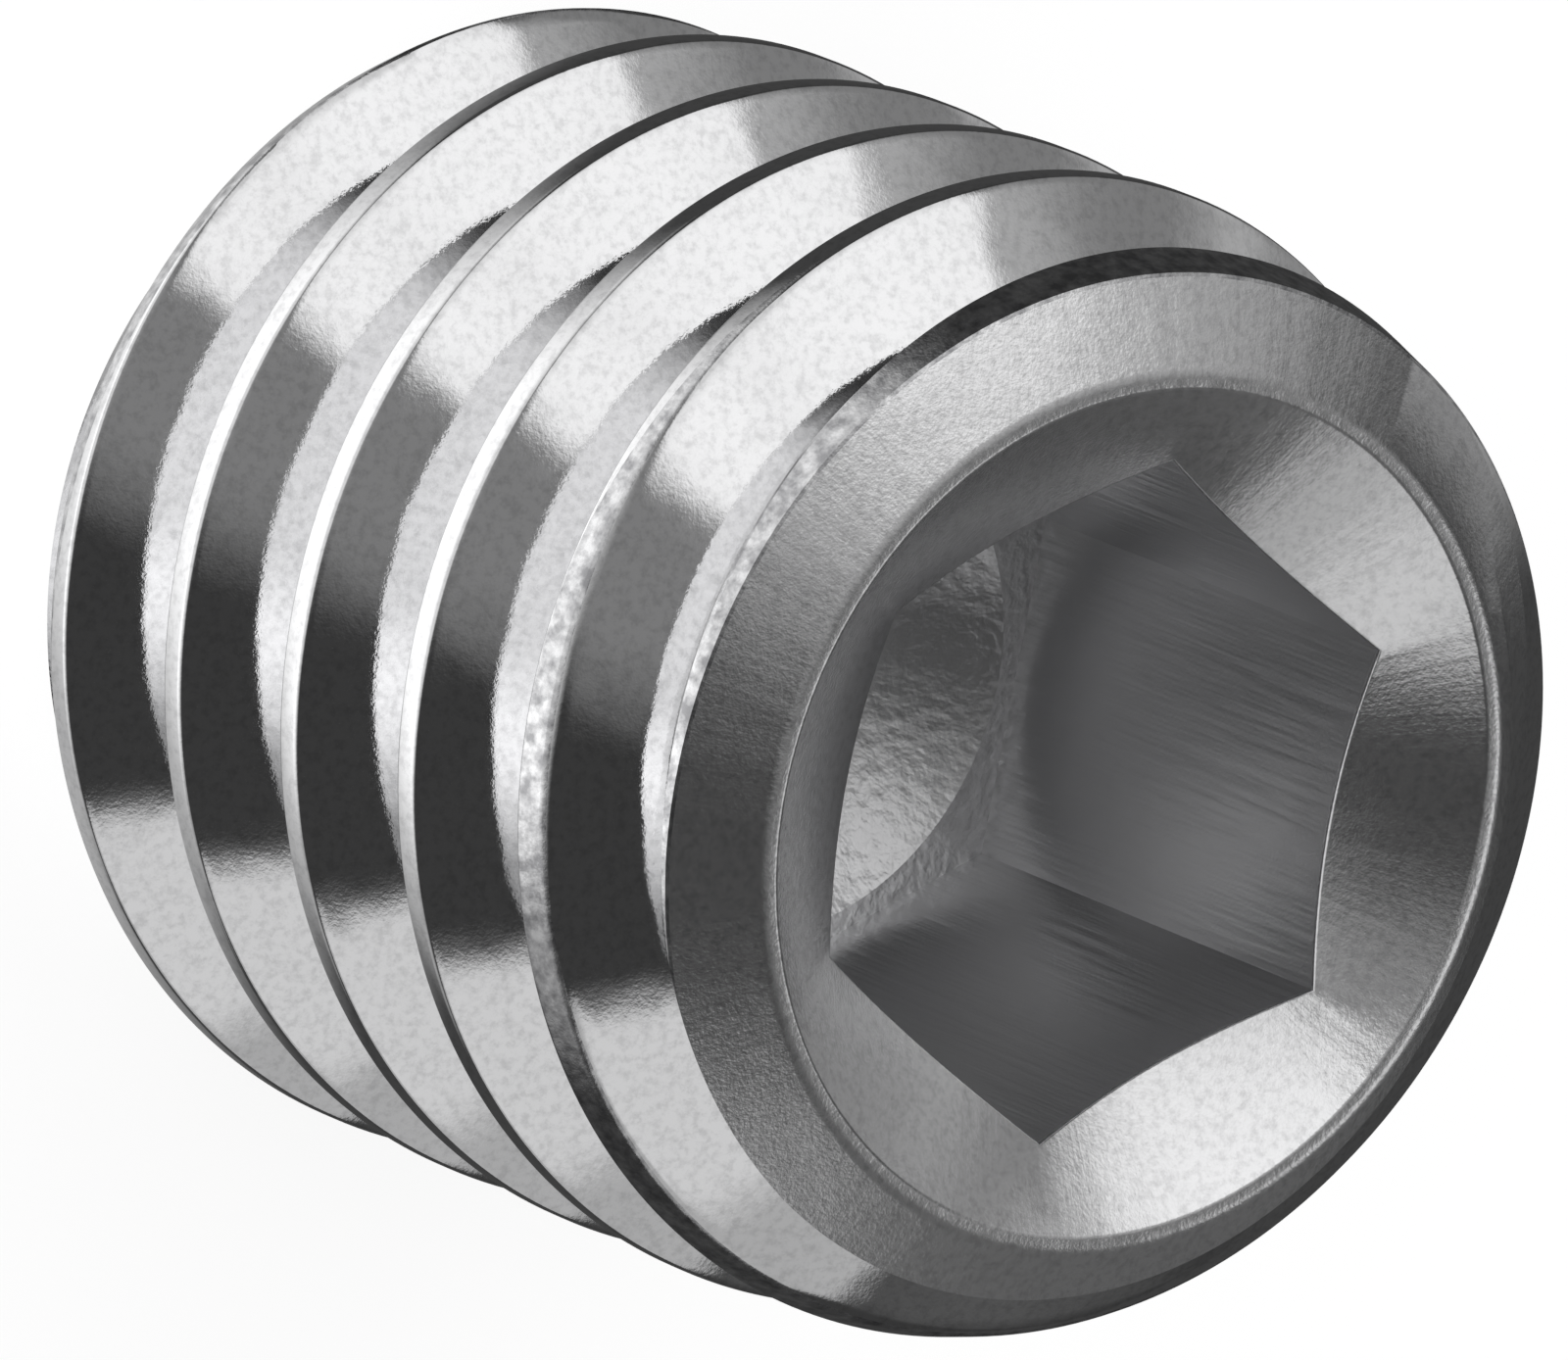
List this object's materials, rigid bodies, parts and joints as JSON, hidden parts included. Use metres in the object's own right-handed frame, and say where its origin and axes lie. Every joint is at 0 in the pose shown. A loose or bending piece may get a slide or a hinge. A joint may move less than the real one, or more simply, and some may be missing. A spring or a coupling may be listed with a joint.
{
  "type": "grub set screw",
  "caption": "Headless fully threaded metric set screw with a hexagon socket, countersunk socket mouth, chamfered ends and a flat point.",
  "frame": {"origin": "centre of the flat point's face, which the screw stands on", "axes": "+Z along the screw's axis, from the point to the socket end; +X through a corner of the hexagon socket"},
  "size_m": [0.004, 0.004, 0.0041],
  "materials": {
    "steel": "bright rolled steel with a satin grain, sharper shine on the thread crests and chamfers"
  },
  "bodies": {
    "root": {"screw": "steel"}
  },
  "joints": []
}
